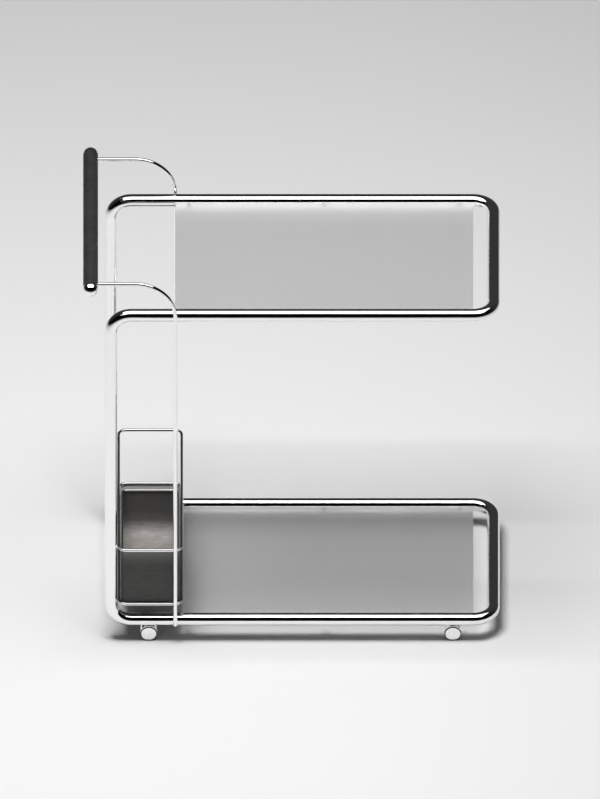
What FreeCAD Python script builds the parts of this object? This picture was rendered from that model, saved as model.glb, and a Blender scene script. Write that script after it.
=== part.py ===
"""Bar cart on four twin-wheel castors: bent chrome tube frame, two frosted glass shelves, a push
handle on bent rods, and a bottle rack of two rod rings with a lift-out leather container.
Millimetres; +X right, +Y back, +Z up; the floor is Z = 0 and the plan centre is the origin."""

import FreeCAD, Part
import math
import os

import Sketcher

Vector = FreeCAD.Vector
Rotation = FreeCAD.Rotation
Placement = FreeCAD.Placement

DIMENSIONS = {
    # frame of bent tube
    "frame_length": 750.0,
    "frame_depth": 375.0,
    "frame_rise": 745.0,
    "rail_low": 48.0,
    "tube_radius": 12.5,
    "tube_wall": 1.5,
    "tube_bend": 40.0,
    "joint_along": 701.0,
    "sleeve_length": 18.0,
    "left_axis": -353.5,
    # handle and the two rods that carry it
    "rod_radius": 4.0,
    "rod_along": 126.0,
    "rod_standoff": 16.5,
    "rod_tail": 3.0,
    "arm_rise": 87.8,
    "arm_bend": 80.0,
    "handle_reach": 40.2,
    "core_radius": 11.0,
    "core_wall": 1.5,
    "core_half": 214.0,
    "grip_radius": 14.7,
    "grip_half": 216.0,
    "cap_radius": 15.0,
    "cap_flange": 3.0,
    "cap_spigot": 7.0,
    "stud_radius": 2.0,
    "stud_length": 11.0,
    # glass shelves
    "shelf_length": 584.0,
    "shelf_depth": 348.0,
    "shelf_thick": 8.0,
    "pin_radius": 3.0,
    "pin_length": 16.0,
    "pad_setback": 17.1,
    "pin_inset": 27.5,
    "pad_thick": 1.5,
    # bottle rack
    "ring_rod": 3.0,
    "ring_left": 14.9,
    "ring_right": 138.5,
    "ring_reach": 9.5,
    "ring_corner": 16.0,
    "ring_low": 43.8,
    "ring_high": 175.0,
    "bar_width": 15.0,
    "bar_thick": 2.5,
    "base_thick": 3.0,
    "fit_gap": 0.4,
    "bin_back": 15.8,
    "bin_wall": 1.8,
    "bin_back_wall": 10.0,
    "bin_corner": 12.6,
    "bin_height": 130.2,
    "liner_thick": 2.2,
    "liner_low": 26.5,
    "liner_bend": 30.0,
    "liner_gap": 0.2,
    "trim_rod": 2.0,
    # castors
    "castor_first": 76.9,
    "castor_pitch": 596.5,
    "castor_trail": 3.0,
    "wheel_radius": 16.6,
    "tyre_inner": 14.8,
    "wheel_inner_face": 3.1,
    "wheel_outer_face": 6.0,
    "tyre_outer_face": 6.5,
    "cap_face": 7.1,
    "axle_radius": 2.0,
    "axle_fit": 0.05,
    "stem_radius": 2.4,
    "stem_top": 58.0,
    "socket_radius": 5.0,
    "socket_top": 56.0,
    "hood_inner": 17.4,
    "hood_outer": 18.4,
    "body_half": 2.8,
}

DOC = FreeCAD.newDocument("BarCart")
D = DIMENSIONS


def write_sheet():
    """The spreadsheet whose aliased cells drive every size."""
    sheet = DOC.addObject("Spreadsheet::Sheet", "Dims")
    for row, (alias, value) in enumerate(DIMENSIONS.items(), start=1):
        sheet.set("A%d" % row, alias)
        sheet.set("B%d" % row, str(value))
        sheet.setAlias("B%d" % row, alias)
    DOC.recompute()
    return sheet


def bind(thing, **expressions):
    """Ties properties to spreadsheet cells; the words of an expression are cell aliases."""
    for name, expression in expressions.items():
        thing.setExpression(name, with_sheet(expression))


def with_sheet(expression):
    """The expression with every alias written as a reference to the sheet."""
    words = []
    word = ""
    for letter in expression + " ":
        if letter.isalnum() or letter == "_":
            word += letter
            continue
        words.append("Dims." + word if word in DIMENSIONS else word)
        words.append(letter)
        word = ""
    return "".join(words).strip()


def new_body(label, at=("0", "0", "0")):
    """An empty body whose origin is tied to three expressions in sheet aliases."""
    body = DOC.addObject("PartDesign::Body", label)
    body.Label = label
    if hasattr(body, "AllowCompound"):
        body.AllowCompound = True
    for axis, expression in zip("xyz", at):
        body.setExpression("Placement.Base." + axis, with_sheet(expression))
    return body


def origin_feature(body, role):
    """One of the body's own origin planes or axes."""
    return next(f for f in body.Origin.OriginFeatures if f.Role == role)


def new_sketch(body, name, plane, lift="0"):
    """A sketch on one of the body's origin planes, lifted along the plane's normal."""
    sketch = body.newObject("Sketcher::SketchObject", name)
    sketch.AttachmentSupport = [(origin_feature(body, plane), "")]
    sketch.MapMode = "FlatFace"
    sketch.setExpression("AttachmentOffset.Base.z", with_sheet(lift))
    return sketch


def add_circle(sketch, radius, x="0", y="0"):
    """A circle whose radius and centre are constraints tied to the sheet."""
    circle = sketch.addGeometry(Part.Circle(Vector(0, 0, 0), Vector(0, 0, 1), 1.0), False)
    radius_at = sketch.addConstraint(Sketcher.Constraint("Radius", circle, 1.0))
    x_at = sketch.addConstraint(Sketcher.Constraint("DistanceX", -1, 1, circle, 3, 1.0))
    y_at = sketch.addConstraint(Sketcher.Constraint("DistanceY", -1, 1, circle, 3, 1.0))
    sketch.setExpression("Constraints[%d]" % radius_at, with_sheet(radius))
    sketch.setExpression("Constraints[%d]" % x_at, with_sheet(x))
    sketch.setExpression("Constraints[%d]" % y_at, with_sheet(y))
    return circle


def add_rectangle(sketch, width, height):
    """A rectangle centred on the sketch origin, tied to the sheet."""
    corners = [Vector(-1, -1, 0), Vector(1, -1, 0), Vector(1, 1, 0), Vector(-1, 1, 0)]
    first = sketch.GeometryCount
    for start, end in zip(corners, corners[1:] + corners[:1]):
        sketch.addGeometry(Part.LineSegment(start, end), False)
    for side in range(4):
        joined = Sketcher.Constraint("Coincident", first + side, 2, first + (side + 1) % 4, 1)
        sketch.addConstraint(joined)
    sketch.addConstraint(Sketcher.Constraint("Horizontal", first))
    sketch.addConstraint(Sketcher.Constraint("Horizontal", first + 2))
    sketch.addConstraint(Sketcher.Constraint("Vertical", first + 1))
    sketch.addConstraint(Sketcher.Constraint("Vertical", first + 3))
    sketch.addConstraint(Sketcher.Constraint("Symmetric", first, 1, first + 2, 1, -1, 1))
    wide = sketch.addConstraint(Sketcher.Constraint("DistanceX", first, 1, first, 2, 2.0))
    high = sketch.addConstraint(Sketcher.Constraint("DistanceY", first + 1, 1, first + 1, 2, 2.0))
    sketch.setExpression("Constraints[%d]" % wide, with_sheet(width))
    sketch.setExpression("Constraints[%d]" % high, with_sheet(height))


def draw_path(sketch, points, bend, closed=False):
    """A run of straight lines through the points, its inner corners rounded when bend is given."""
    count = len(points)
    corner_indices = range(count) if closed else range(1, count - 1)
    arcs = {}
    for i in corner_indices if bend else ():
        arcs[i] = corner_arc(points[i - 1], points[i], points[(i + 1) % count], bend)
    for i in range(count if closed else count - 1):
        following = (i + 1) % count
        start = arcs[i][2] if i in arcs else points[i]
        end = arcs[following][0] if following in arcs else points[following]
        sketch.addGeometry(Part.LineSegment(start, end), False)
        if following in arcs:
            first, middle, last = arcs[following]
            sketch.addGeometry(Part.Arc(first, middle, last), False)


def corner_arc(before, corner, after, bend):
    """Start, middle and end of the arc that rounds a right-angled corner."""
    inward = (before - corner).normalize()
    outward = (after - corner).normalize()
    centre = corner + inward * bend + outward * bend
    middle = centre + (corner - centre).normalize() * bend
    return corner + inward * bend, middle, corner + outward * bend


def sweep(body, path, radius, plane, lift, x, y):
    """A round bar swept along a path sketch from a circle drawn at the path's start."""
    profile = new_sketch(body, body.Label + "_section", plane, lift)
    add_circle(profile, radius, x, y)
    pipe = body.newObject("PartDesign::AdditivePipe", body.Label + "_bar")
    pipe.Profile = profile
    pipe.Spine = path
    pipe.Transition = "Transformed"
    DOC.recompute()
    return pipe


def hollow(body, path, radius, plane, lift, x, y):
    """The bore of a bent tube, swept along the same path as its outside."""
    profile = new_sketch(body, body.Label + "_bore_section", plane, lift)
    add_circle(profile, radius, x, y)
    bore = body.newObject("PartDesign::SubtractivePipe", body.Label + "_bore")
    bore.Profile = profile
    bore.Spine = path
    bore.Transition = "Transformed"
    DOC.recompute()
    return bore


def drill(body, name, radius, length, start, direction):
    """A round hole from a start point, in the body's own frame, along a direction."""
    hole = body.newObject("PartDesign::SubtractiveCylinder", name)
    bind(hole, Radius=radius)
    hole.Height = length
    hole.Placement = Placement(start, Rotation(Vector(0, 0, 1), direction))
    DOC.recompute()
    return hole


def pad(body, sketch, length, midplane=False, reverse=False):
    """A pad whose length is tied to the sheet."""
    feature = body.newObject("PartDesign::Pad", sketch.Name + "_pad")
    feature.Profile = sketch
    bind(feature, Length=length)
    if midplane:
        feature.SideType = "Symmetric"
    feature.Reversed = reverse
    DOC.recompute()
    return feature


def repeat(body, feature, runs):
    """Copies of a feature along the body's axes; each run is (axis, length expression, count)."""
    multi = body.newObject("PartDesign::MultiTransform", feature.Name + "_repeat")
    multi.Originals = [feature]
    patterns = []
    for axis, length, count in runs:
        pattern = DOC.addObject("PartDesign::LinearPattern", feature.Name + "_row")
        pattern.Direction = (origin_feature(body, axis + "_Axis"), [""])
        pattern.Occurrences = count
        bind(pattern, Length=length)
        body.addObject(pattern)
        patterns.append(pattern)
    multi.Transformations = patterns
    body.Tip = multi
    DOC.recompute()
    return multi


def spin(body, sketch, axis):
    """A full turn of a profile about one of the body's axes."""
    turned = body.newObject("PartDesign::Revolution", sketch.Name + "_turned")
    turned.Profile = sketch
    turned.ReferenceAxis = (origin_feature(body, axis + "_Axis"), [""])
    turned.Angle = 360.0
    DOC.recompute()
    return turned


# ---------------------------------------------------------------- frame of bent tube


def side_tube(label, side):
    """Upper rail, left upright and lower rail of one long side, bent from one tube."""
    body = new_body(label, ("left_axis", "%d * frame_depth / 2" % side, "rail_low"))
    rise, along = D["frame_rise"], D["joint_along"]
    path = new_sketch(body, label + "_path", "XZ_Plane")
    corners = [Vector(along, rise, 0), Vector(0, rise, 0), Vector(0, 0, 0), Vector(along, 0, 0)]
    draw_path(path, corners, D["tube_bend"])
    section = ("YZ_Plane", "joint_along", "0", "frame_rise")
    sweep(body, path, "tube_radius", *section)
    hollow(body, path, "tube_radius - tube_wall", *section)
    outward = Vector(0, side, 0)
    for level, height in (("low", 0.0), ("high", rise)):
        at = Vector(D["rod_along"], 0, height)
        drill(body, "%s_stud_%s" % (label, level), "stud_radius", 20.0, at, outward)
        for number, along_rail in enumerate(pin_stations()):
            start = Vector(along_rail, 0, height - pin_drop())
            drill(body, "%s_pin_%s_%d" % (label, level, number), "pin_radius", 20.0, start, -outward)
    last_castor = D["castor_first"] + D["castor_pitch"]
    for end, along_rail in (("left", D["castor_first"]), ("right", last_castor)):
        start = Vector(along_rail, 0, 0)
        drill(body, "%s_socket_%s" % (label, end), "socket_radius", 20.0, start, Vector(0, 0, -1))
    return body


def end_bow(label, height):
    """The bow at the right end that joins the front and rear rails of one level."""
    body = new_body(label, ("left_axis", "0", height))
    length, half = D["frame_length"], D["frame_depth"] / 2
    along = D["joint_along"]
    path = new_sketch(body, label + "_path", "XY_Plane")
    corners = [
        Vector(along, -half, 0),
        Vector(length, -half, 0),
        Vector(length, half, 0),
        Vector(along, half, 0),
    ]
    draw_path(path, corners, D["tube_bend"])
    section = ("YZ_Plane", "joint_along", "-frame_depth / 2", "0")
    sweep(body, path, "tube_radius", *section)
    hollow(body, path, "tube_radius - tube_wall", *section)
    return body


def joint_sleeves():
    """Short inner tubes across the four butt joints between side tubes and end bows."""
    body = new_body("frame_joint_sleeves", ("left_axis", "-frame_depth / 2", "rail_low"))
    ring = new_sketch(body, "sleeve_ring", "YZ_Plane", "joint_along")
    add_circle(ring, "tube_radius - tube_wall")
    add_circle(ring, "tube_radius - 2 * tube_wall")
    sleeve = pad(body, ring, "sleeve_length", midplane=True)
    repeat(body, sleeve, [("Y", "frame_depth", 2), ("Z", "frame_rise", 2)])
    return body


# ---------------------------------------------------------------- handle


def handle_rod(label, side):
    """Upright rod against both rails, bent over at the top to carry the handle."""
    body = new_body(label, ("left_axis", "%d * (frame_depth / 2 + rod_standoff)" % side, "rail_low"))
    top = D["frame_rise"] + D["arm_rise"]
    path = new_sketch(body, label + "_path", "XZ_Plane")
    foot = Vector(D["rod_along"], -D["rod_tail"], 0)
    corner = Vector(D["rod_along"], top, 0)
    draw_path(path, [foot, corner, Vector(-D["handle_reach"], top, 0)], D["arm_bend"])
    sweep(body, path, "rod_radius", "XY_Plane", "-rod_tail", "rod_along", "0")
    for level, height in (("low", 0.0), ("high", D["frame_rise"])):
        start = Vector(D["rod_along"], -side * 8.0, height)
        drill(body, "%s_stud_%s" % (label, level), "stud_radius", 9.0, start, Vector(0, side, 0))
    return body


def rod_studs():
    """Four hidden studs that fix the upright rods to the rails."""
    body = new_body("rod_studs", ("left_axis + rod_along", "0", "rail_low"))
    start = "frame_depth / 2 + rod_standoff - stud_length + 1"
    section = new_sketch(body, "stud_section", "XZ_Plane", start)
    add_circle(section, "stud_radius")
    stud = pad(body, section, "stud_length")
    span = "frame_depth + 2 * rod_standoff - stud_length + 2"
    repeat(body, stud, [("Y", span, 2), ("Z", "frame_rise", 2)])
    return body


def handle_place(along):
    """Origin of a sub-part on the handle's axis, at a Y expression."""
    return ("left_axis - handle_reach", along, "rail_low + frame_rise + arm_rise")


def handle_core():
    """Steel tube inside the grip, with a hole for the end of each arm."""
    body = new_body("handle_core", handle_place("0"))
    ring = new_sketch(body, "core_ring", "XZ_Plane")
    add_circle(ring, "core_radius")
    add_circle(ring, "core_radius - core_wall")
    pad(body, ring, "2 * core_half", midplane=True)
    drill_arm_holes(body, "core")
    return body


def handle_grip():
    """Black leather-wrapped sleeve over the whole handle core."""
    body = new_body("handle_grip", handle_place("0"))
    ring = new_sketch(body, "grip_ring", "XZ_Plane")
    add_circle(ring, "grip_radius")
    add_circle(ring, "core_radius")
    pad(body, ring, "2 * grip_half", midplane=True)
    drill_arm_holes(body, "grip")
    return body


def drill_arm_holes(body, name):
    """The two holes through which the arms enter the handle from the cart's side."""
    reach = D["frame_depth"] / 2 + D["rod_standoff"]
    for word, side in (("front", -1), ("rear", 1)):
        start = Vector(0, side * reach, 0)
        drill(body, "%s_hole_%s" % (name, word), "rod_radius", 20.0, start, Vector(1, 0, 0))


def handle_cap(label, side):
    """Domed chrome end cap with a spigot pressed into the handle core."""
    body = new_body(label, handle_place("%d * grip_half" % side))
    profile = new_sketch(body, label + "_profile", "XY_Plane")
    radius, flange = D["cap_radius"], side * D["cap_flange"]
    spigot = D["core_radius"] - D["core_wall"]
    back = -side * D["cap_spigot"]
    core_end = side * (D["core_half"] - D["grip_half"])
    points = [
        Vector(0, back, 0),
        Vector(spigot, back, 0),
        Vector(spigot, core_end, 0),
        Vector(D["core_radius"], core_end, 0),
        Vector(D["core_radius"], 0, 0),
        Vector(radius, 0, 0),
        Vector(radius, flange, 0),
    ]
    for first, second in zip(points, points[1:]):
        profile.addGeometry(Part.LineSegment(first, second), False)
    crown = Vector(0, flange + side * radius, 0)
    slant = radius / math.sqrt(2)
    profile.addGeometry(Part.Arc(points[-1], Vector(slant, flange + side * slant, 0), crown), False)
    profile.addGeometry(Part.LineSegment(crown, points[0]), False)
    spin(body, profile, "Y")
    return body


# ---------------------------------------------------------------- glass shelves


def pin_drop():
    """How far a shelf pin's axis lies below its rail's axis."""
    return D["shelf_thick"] / 2 + D["pad_thick"] + D["pin_radius"]


def pin_stations():
    """Distances from the left upright at which the shelf pins stand on a rail."""
    first = D["rod_along"] + D["pin_inset"]
    step = (D["shelf_length"] - 2 * D["pin_inset"]) / 2
    return [first + step * number for number in range(3)]


def glass_shelf(label, rise):
    """Frosted glass plate between the rails of one level, with eased edges."""
    body = new_body(label, ("left_axis + rod_along + shelf_length / 2", "0", "rail_low + " + rise))
    plate = new_sketch(body, label + "_plate", "XY_Plane")
    add_rectangle(plate, "shelf_length", "shelf_depth")
    slab = pad(body, plate, "shelf_thick", midplane=True)
    eased = body.newObject("PartDesign::Chamfer", label + "_eased")
    eased.Base = (slab, all_edges(slab))
    eased.Size = 0.8
    DOC.recompute()
    return body


def all_edges(feature):
    """Names of every edge of a feature's shape."""
    return ["Edge%d" % (index + 1) for index in range(len(feature.Shape.Edges))]


def shelf_pins(label, rise):
    """Six pins that stand inward from the rails under one glass shelf."""
    drop = "rail_low + %s - shelf_thick / 2 - pad_thick - pin_radius" % rise
    body = new_body(label, ("left_axis + rod_along + pin_inset", "0", drop))
    section = new_sketch(body, label + "_section", "XZ_Plane", "frame_depth / 2 - 5 - pin_length")
    add_circle(section, "pin_radius")
    pin = pad(body, section, "pin_length")
    across = "frame_depth - 10 - pin_length"
    repeat(body, pin, [("X", "shelf_length - 2 * pin_inset", 3), ("Y", across, 2)])
    return body


def shelf_pads(label, rise):
    """Clear pads saddled on the pins, on which the glass rests."""
    top = "rail_low + %s - shelf_thick / 2" % rise
    body = new_body(label, ("left_axis + rod_along + pin_inset", "-frame_depth / 2 + pad_setback", top))
    block = new_sketch(body, label + "_block", "XY_Plane")
    add_rectangle(block, "2.4 * pin_radius", "2.4 * pin_radius")
    slab = pad(body, block, "pad_thick + pin_radius", reverse=True)
    saddle_start = Vector(0, -20.0, -D["pad_thick"] - D["pin_radius"])
    saddle = drill(body, label + "_saddle", "pin_radius", 40.0, saddle_start, Vector(0, 1, 0))
    across = "frame_depth - 2 * pad_setback"
    multi = repeat(body, slab, [("X", "shelf_length - 2 * pin_inset", 3), ("Y", across, 2)])
    multi.Originals = [slab, saddle]
    DOC.recompute()
    return body


# ---------------------------------------------------------------- bottle rack


def rack_place(height):
    """Origin of a rack sub-part: the rack's middle in plan, at a height expression."""
    return ("left_axis + (ring_left + ring_right) / 2", "0", height)


def ring_inside_half():
    """Half the width that fits between the long rods of a ring."""
    return (D["ring_right"] - D["ring_left"]) / 2 - D["ring_rod"] - D["fit_gap"]


def rack_ring(label, rise):
    """Closed ring of bent rod that runs round the rack and touches uprights and rods."""
    body = new_body(label, rack_place("rail_low + " + rise))
    half_wide = (D["ring_right"] - D["ring_left"]) / 2
    half_deep = D["frame_depth"] / 2 + D["ring_reach"]
    path = new_sketch(body, label + "_path", "XY_Plane")
    corners = [
        Vector(0, -half_deep, 0),
        Vector(half_wide, -half_deep, 0),
        Vector(half_wide, half_deep, 0),
        Vector(0, half_deep, 0),
    ]
    draw_path(path, corners, D["ring_corner"])
    bar = sweep(body, path, "ring_rod", "YZ_Plane", "0", "-frame_depth / 2 - ring_reach", "0")
    other = body.newObject("PartDesign::Mirrored", label + "_other_half")
    other.Originals = [bar]
    other.MirrorPlane = (origin_feature(body, "YZ_Plane"), [""])
    body.Tip = other
    DOC.recompute()
    return body


def rack_bars():
    """Three flat bars welded under the lower ring to carry the rack's base panel."""
    across, _, height = rack_place("rail_low + ring_low - ring_rod - bar_thick")
    body = new_body("rack_base_bars", (across, "-frame_depth / 3", height))
    flat = new_sketch(body, "bar_flat", "XY_Plane")
    add_rectangle(flat, "ring_right - ring_left", "bar_width")
    bar = pad(body, flat, "bar_thick")
    repeat(body, bar, [("Y", "frame_depth * 2 / 3", 3)])
    return body


def rack_base():
    """Thin leather-faced panel on the bars, inside the lower ring, under the whole rack."""
    body = new_body("rack_base_panel", rack_place("rail_low + ring_low - ring_rod"))
    plate = new_sketch(body, "base_plate", "XY_Plane")
    wide = "ring_right - ring_left - 2 * ring_rod - 2 * fit_gap"
    deep = "frame_depth + 2 * ring_reach - 2 * ring_rod - 2 * fit_gap"
    add_rectangle(plate, wide, deep)
    slab = pad(body, plate, "base_thick")
    round_upright_edges(body, slab, "bin_corner")
    return body


def round_upright_edges(body, feature, radius):
    """Fillets the four vertical corners of a feature."""
    names = []
    for index, edge in enumerate(feature.Shape.Edges):
        first, last = edge.Vertexes[0].Point, edge.Vertexes[-1].Point
        if abs(first.x - last.x) + abs(first.y - last.y) < 1e-6 < abs(first.z - last.z):
            names.append("Edge%d" % (index + 1))
    rounded = body.newObject("PartDesign::Fillet", feature.Name + "_rounded")
    rounded.Base = (feature, names)
    bind(rounded, Radius=radius)
    DOC.recompute()
    return rounded


# ---------------------------------------------------------------- lift-out container


BIN_FLOOR = "rail_low + ring_low - ring_rod + base_thick"


def bin_front():
    """Y of the container's front face, just inside the rack rings."""
    return -(D["frame_depth"] / 2 + D["ring_reach"] - D["ring_rod"] - D["fit_gap"])


def bin_inside():
    """Front and back Y of the space inside the container's walls."""
    return bin_front() + D["bin_wall"], D["bin_back"] - D["bin_back_wall"]


def container_shell():
    """Open leather-covered box: thin front, sides and floor, and a thick back wall."""
    body = new_body("container_shell", rack_place(BIN_FLOOR))
    outer = new_sketch(body, "bin_outer", "XY_Plane")
    half_wide = ring_inside_half()
    draw_loop(outer, half_wide, bin_front(), D["bin_back"], D["bin_corner"])
    pad(body, outer, "bin_height")
    inner = new_sketch(body, "bin_inner", "XY_Plane", "bin_wall")
    inside_front, inside_back = bin_inside()
    inside_corner = D["bin_corner"] - D["bin_wall"]
    draw_loop(inner, half_wide - D["bin_wall"], inside_front, inside_back, inside_corner)
    hollowing = body.newObject("PartDesign::Pocket", "bin_hollow")
    hollowing.Profile = inner
    hollowing.Reversed = True
    bind(hollowing, Length="bin_height")
    DOC.recompute()
    return body


def draw_loop(sketch, half_wide, front, back, corner):
    """A closed rectangle with rounded corners, centred across the rack."""
    points = [
        Vector(-half_wide, front, 0),
        Vector(half_wide, front, 0),
        Vector(half_wide, back, 0),
        Vector(-half_wide, back, 0),
    ]
    draw_path(sketch, points, corner, closed=True)


def container_liner():
    """Leather sheet slung inside the container, up both long walls and rounded at the bottom."""
    front, back = bin_inside()
    centre = (front + back) / 2
    outer = (back - front) / 2 - D["liner_gap"]
    top = D["bin_height"] - 2 * D["trim_rod"] - 0.3
    body = new_body("container_liner", rack_place(BIN_FLOOR))
    profile = new_sketch(body, "liner_profile", "YZ_Plane")
    for inset in (0, D["liner_thick"]):
        near, far = centre - outer + inset, centre + outer - inset
        low = D["liner_low"] + inset
        trough = [Vector(near, top, 0), Vector(near, low, 0), Vector(far, low, 0), Vector(far, top, 0)]
        draw_path(profile, trough, D["liner_bend"] - inset)
    for side in (-1, 1):
        edge = centre + side * outer
        draw_path(profile, [Vector(edge, top, 0), Vector(edge - side * D["liner_thick"], top, 0)], 0)
    half_wide = ring_inside_half() - D["bin_wall"] - D["liner_gap"]
    sheet = body.newObject("PartDesign::Pad", "liner_sheet")
    sheet.Profile = profile
    sheet.SideType = "Symmetric"
    bind(sheet, Length="ring_right - ring_left - 2 * (ring_rod + fit_gap + bin_wall + liner_gap)")
    DOC.recompute()
    round_off = new_sketch(body, "liner_round_off", "XY_Plane")
    corner = D["bin_corner"] - D["bin_wall"] - D["liner_gap"]
    draw_loop(round_off, half_wide, centre - outer, centre + outer, corner)
    add_rectangle(round_off, "frame_depth", "2 * frame_depth")
    cutting = body.newObject("PartDesign::Pocket", "liner_corners")
    cutting.Profile = round_off
    cutting.Reversed = True
    bind(cutting, Length="bin_height")
    DOC.recompute()
    return body


def container_trim():
    """Thin chrome rod ring seated inside the container's rim."""
    body = new_body("container_trim", rack_place(BIN_FLOOR + " + bin_height - trim_rod"))
    front, back = bin_inside()
    rod = D["trim_rod"]
    path = new_sketch(body, "trim_path", "XY_Plane")
    right = ring_inside_half() - D["bin_wall"] - rod
    near, far = front + rod, back - rod
    points = [Vector(0, near, 0), Vector(right, near, 0), Vector(right, far, 0), Vector(0, far, 0)]
    draw_path(path, points, D["bin_corner"] - D["bin_wall"] - rod)
    section = new_sketch(body, "trim_section", "YZ_Plane")
    circle = section.addGeometry(Part.Circle(Vector(near, 0, 0), Vector(0, 0, 1), rod), False)
    size = section.addConstraint(Sketcher.Constraint("Radius", circle, rod))
    section.setExpression("Constraints[%d]" % size, with_sheet("trim_rod"))
    bar = body.newObject("PartDesign::AdditivePipe", "trim_bar")
    bar.Profile = section
    bar.Spine = path
    bar.Transition = "Transformed"
    DOC.recompute()
    other = body.newObject("PartDesign::Mirrored", "trim_other_half")
    other.Originals = [bar]
    other.MirrorPlane = (origin_feature(body, "YZ_Plane"), [""])
    body.Tip = other
    DOC.recompute()
    return body


# ---------------------------------------------------------------- castors


HOOD_START = 20.0
HOOD_END = 160.0


def castor_places():
    """Name, X expression and Y expression of each castor's swivel axis."""
    left = "left_axis + castor_first"
    right = left + " + castor_pitch"
    front, rear = "-frame_depth / 2", "frame_depth / 2"
    return [
        ("front_left", left, front),
        ("front_right", right, front),
        ("rear_left", left, rear),
        ("rear_right", right, rear),
    ]


def castor_sockets():
    """Four bushes let into the undersides of the lower rails."""
    place = ("left_axis + castor_first", "-frame_depth / 2", "rail_low - tube_radius")
    body = new_body("castor_sockets", place)
    ring = new_sketch(body, "socket_ring", "XY_Plane")
    add_circle(ring, "socket_radius")
    add_circle(ring, "stem_radius + axle_fit")
    bush = pad(body, ring, "socket_top - rail_low + tube_radius")
    repeat(body, bush, [("X", "castor_pitch", 2), ("Y", "frame_depth", 2)])
    return body


def castor_housing(name, x, y):
    """Hood over both wheels, with the middle plate that carries axle and stem."""
    body = new_body("castor_%s_housing" % name, (x, y, "0"))
    hood = new_sketch(body, "hood_%s" % name, "XZ_Plane")
    draw_hood(hood, D["hood_inner"], D["hood_outer"])
    pad(body, hood, "2 * tyre_outer_face", midplane=True)
    plate = new_sketch(body, "plate_%s" % name, "XZ_Plane")
    draw_plate(plate)
    pad(body, plate, "2 * body_half", midplane=True)
    axle_start = Vector(-D["castor_trail"], -20.0, D["wheel_radius"])
    drill(body, "axle_bore_%s" % name, "axle_radius + axle_fit", 40.0, axle_start, Vector(0, 1, 0))
    stem_start = Vector(0, 0, D["wheel_radius"] + 6.0)
    drill(body, "stem_bore_%s" % name, "stem_radius", 40.0, stem_start, Vector(0, 0, 1))
    return body


def hood_point(radius, angle):
    """A point of the hood in the XZ sketch, at an angle about the axle."""
    turn = math.radians(angle)
    across = radius * math.cos(turn) - D["castor_trail"]
    up = radius * math.sin(turn) + D["wheel_radius"]
    return Vector(across, up, 0)


def draw_hood_arc(sketch, radius, first, last):
    """An arc about the axle between two angles."""
    middle = hood_point(radius, (first + last) / 2)
    sketch.addGeometry(Part.Arc(hood_point(radius, first), middle, hood_point(radius, last)), False)


def draw_hood(sketch, inner, outer):
    """A curved strip over the top of the wheels."""
    draw_hood_arc(sketch, outer, HOOD_START, HOOD_END)
    draw_hood_arc(sketch, inner, HOOD_START, HOOD_END)
    for angle in (HOOD_START, HOOD_END):
        sketch.addGeometry(Part.LineSegment(hood_point(inner, angle), hood_point(outer, angle)), False)


def draw_plate(sketch):
    """The middle plate: round under the hood, narrowing to the axle boss."""
    outer = D["hood_outer"] - 0.4
    boss, boss_start, boss_end = 5.0, 220.0, 320.0
    draw_hood_arc(sketch, outer, HOOD_START, HOOD_END)
    draw_hood_arc(sketch, boss, boss_start, boss_end)
    for high, low in ((HOOD_END, boss_start), (HOOD_START, boss_end)):
        sketch.addGeometry(Part.LineSegment(hood_point(outer, high), hood_point(boss, low)), False)


def castor_stem(name, x, y):
    """Upright steel stem pressed into the housing and turning in its bush."""
    body = new_body("castor_%s_stem" % name, (x, y, "wheel_radius + 6"))
    section = new_sketch(body, "stem_%s" % name, "XY_Plane")
    add_circle(section, "stem_radius")
    pad(body, section, "stem_top - wheel_radius - 6")
    return body


def castor_axle(name, x, y):
    """Steel axle pressed into both wheels and turning in the housing."""
    body = new_body("castor_%s_axle" % name, (x + " - castor_trail", y, "wheel_radius"))
    section = new_sketch(body, "axle_%s" % name, "XZ_Plane")
    add_circle(section, "axle_radius")
    pad(body, section, "2 * wheel_outer_face", midplane=True)
    return body


def castor_pair(label, x, y, inner, outer, near, far):
    """A ring on each side of the castor's middle plane, as wheels, tyres and caps are."""
    body = new_body(label, (x + " - castor_trail", y, "wheel_radius"))
    section = new_sketch(body, label + "_section", "XZ_Plane", near)
    add_circle(section, outer)
    if inner:
        add_circle(section, inner)
    side = pad(body, section, "%s - %s" % (far, near))
    other = body.newObject("PartDesign::Mirrored", label + "_other")
    other.Originals = [side]
    other.MirrorPlane = (origin_feature(body, "XZ_Plane"), [""])
    body.Tip = other
    DOC.recompute()
    return body


def castor(name, x, y):
    """Every moving sub-part of one castor."""
    prefix = "castor_%s_" % name
    wheel = (x, y, "axle_radius", "tyre_inner", "wheel_inner_face", "wheel_outer_face")
    tyre = (x, y, "tyre_inner", "wheel_radius", "wheel_inner_face", "tyre_outer_face")
    cap = (x, y, "", "tyre_inner", "wheel_outer_face", "cap_face")
    return [
        castor_housing(name, x, y),
        castor_stem(name, x, y),
        castor_axle(name, x, y),
        castor_pair(prefix + "wheels", *wheel),
        castor_pair(prefix + "tyres", *tyre),
        castor_pair(prefix + "caps", *cap),
    ]


# ---------------------------------------------------------------- whole cart


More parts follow.
